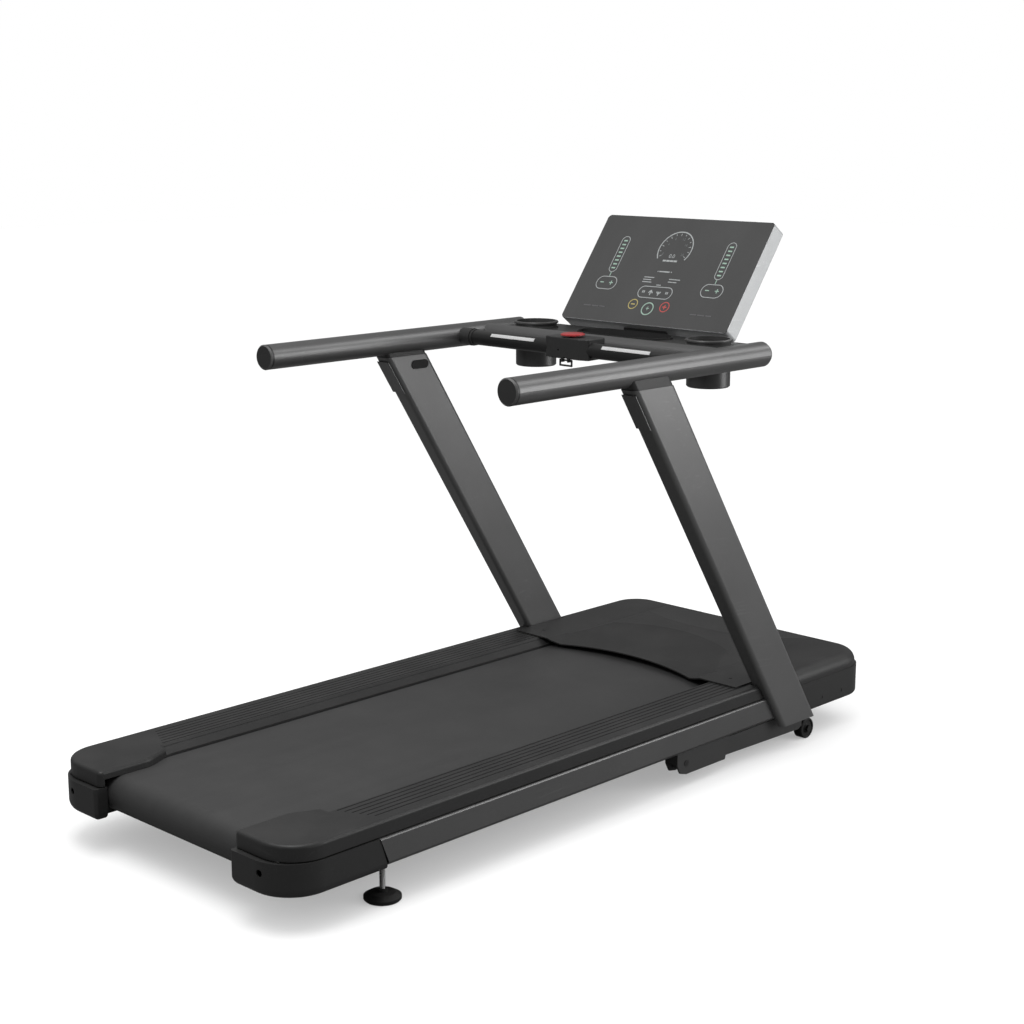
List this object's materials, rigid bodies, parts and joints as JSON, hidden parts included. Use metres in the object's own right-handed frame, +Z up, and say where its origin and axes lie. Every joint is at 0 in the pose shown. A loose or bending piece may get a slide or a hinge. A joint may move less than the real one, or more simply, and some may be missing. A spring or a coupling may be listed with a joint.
{
  "type": "motorised treadmill",
  "caption": "Flat-deck motorised treadmill with leaning uprights, tube handrails, grip bar, cup tray, tilted touch console and a power lift frame under the hood.",
  "frame": {"origin": "on the floor under the middle of the machine's bounding box", "axes": "+Y ahead of the user towards the hood, +X to the user's right, +Z up"},
  "size_m": [0.86, 1.994, 1.3182],
  "materials": {
    "frame_paint": "satin",
    "upright_paint": "matt",
    "rail_paint": "satin",
    "cover_plastic": "fine textured",
    "dark_plastic": "fine textured",
    "belt_rubber": "fine woven top",
    "foot_rubber": "matt",
    "wheel_plastic": "matt",
    "deck_wood": "waxed",
    "bright_steel": "turned",
    "dark_screws": "blackened",
    "pulley_alloy": "turned",
    "motor_paint": "gloss",
    "controller_alloy": "as extruded",
    "console_white": "satin silver white",
    "console_glass": "gloss black",
    "stop_red": "gloss"
  },
  "bodies": {
    "frame": {"belt_tension_bolts": "bright_steel", "cable_grommets": "foot_rubber", "centre_housing": "dark_plastic", "console_case": "console_white", "console_glass": "console_glass", "console_neck": "dark_plastic", "cover_screws": "dark_screws", "cross_members": "frame_paint", "cross_tube": "rail_paint", "cup_holder_left": "dark_plastic", "cup_holder_right": "dark_plastic", "deck_board": "deck_wood", "deck_cushions": "foot_rubber", "drive_belt": "belt_rubber", "drive_motor": "motor_paint", "foot_rail_left": "cover_plastic", "foot_rail_right": "cover_plastic", "foot_threaded_plates": "frame_paint", "front_lower_cover": "cover_plastic", "grip_bar": "rail_paint", "grip_collars": "dark_plastic", "handrail_front_caps": "dark_plastic", "handrail_left": "rail_paint", "handrail_rear_caps": "dark_plastic", "handrail_right": "rail_paint", "hood": "cover_plastic", "lift_brackets": "frame_paint", "motor_bay_frame": "frame_paint", "motor_bracket": "frame_paint", "motor_controller": "controller_alloy", "power_inlet": "dark_plastic", "pulse_plates": "bright_steel", "rear_cap_left": "cover_plastic", "rear_cap_right": "cover_plastic", "rear_shaft": "bright_steel", "roller_brackets": "frame_paint", "running_belt": "belt_rubber", "side_rail_left": "frame_paint", "side_rail_right": "frame_paint", "tray": "dark_plastic", "upright_bolts": "dark_screws", "upright_collars": "dark_plastic", "upright_end_plates": "upright_paint", "upright_left": "upright_paint", "upright_right": "upright_paint"},
    "front_roller_body": {"front_roller": "bright_steel", "driven_pulley": "pulley_alloy"},
    "rear_roller_body": {"rear_roller": "bright_steel"},
    "motor_rotor": {"motor_flywheel": "pulley_alloy", "motor_pulley": "pulley_alloy"},
    "lift": {"lift_frame": "frame_paint", "lift_pins": "dark_screws"},
    "left_wheel": {"wheel_left": "wheel_plastic"},
    "right_wheel": {"wheel_right": "wheel_plastic"},
    "incline_drive": {"lift_motor": "motor_paint"},
    "incline_tube": {"lift_screw_tube": "bright_steel"},
    "left_foot": {"levelling_foot_left": "foot_rubber"},
    "right_foot": {"levelling_foot_right": "foot_rubber"},
    "stop": {"stop_button": "stop_red"},
    "safety_loop": {"clip_loop": "dark_screws"}
  },
  "joints": [
    {"name": "front_roller_spin", "type": "hinge", "parent": "frame", "child": "front_roller_body", "pos_m": [0, 0.61, 0.13], "axis": [1, 0, 0], "continuous": true},
    {"name": "rear_roller_spin", "type": "hinge", "parent": "frame", "child": "rear_roller_body", "pos_m": [0, -0.92, 0.13], "axis": [1, 0, 0], "continuous": true},
    {"name": "motor_spin", "type": "hinge", "parent": "frame", "child": "motor_rotor", "pos_m": [-0.25, 0.82, 0.142], "axis": [1, 0, 0], "continuous": true},
    {"name": "incline", "type": "hinge", "parent": "frame", "child": "lift", "pos_m": [0, 0.235, 0.062], "axis": [1, 0, 0], "range_deg": [-20, 0]},
    {"name": "left_wheel_roll", "type": "hinge", "parent": "lift", "child": "left_wheel", "pos_m": [-0.385, 0.73879, 0.027], "axis": [1, 0, 0], "continuous": true},
    {"name": "right_wheel_roll", "type": "hinge", "parent": "lift", "child": "right_wheel", "pos_m": [0.385, 0.73879, 0.027], "axis": [1, 0, 0], "continuous": true},
    {"name": "incline_drive_pivot", "type": "hinge", "parent": "frame", "child": "incline_drive", "pos_m": [0.325, 0.235, 0.118], "axis": [1, 0, 0], "range_deg": [-25, 0.5]},
    {"name": "incline_tube_slide", "type": "slide", "parent": "incline_drive", "child": "incline_tube", "axis": [0, 0.9873, -0.1591], "range_m": [-0.001, 0.04]},
    {"name": "left_foot_screw", "type": "slide", "parent": "frame", "child": "left_foot", "axis": [0, 0, 1], "range_m": [-0.012, 0.006]},
    {"name": "right_foot_screw", "type": "slide", "parent": "frame", "child": "right_foot", "axis": [0, 0, 1], "range_m": [-0.012, 0.006]},
    {"name": "stop_press", "type": "slide", "parent": "frame", "child": "stop", "axis": [0, 0, -1], "range_m": [0, 0.004], "stiffness_N_per_m": 1500, "springref_m": -0.002},
    {"name": "safety_loop_swing", "type": "hinge", "parent": "frame", "child": "safety_loop", "pos_m": [0, 0.23975, 0.9948], "axis": [1, 0, 0], "range_deg": [-80, 80]}
  ],
  "couplings": [
    {"joint": "rear_roller_spin", "follows": "front_roller_spin", "ratio": 1},
    {"joint": "motor_spin", "follows": "front_roller_spin", "ratio": 2.8235},
    {"joint": "incline_drive_pivot", "follows": "incline", "ratio": 0.95589},
    {"joint": "incline_tube_slide", "follows": "incline", "m_per_rad": -0.052773}
  ]
}
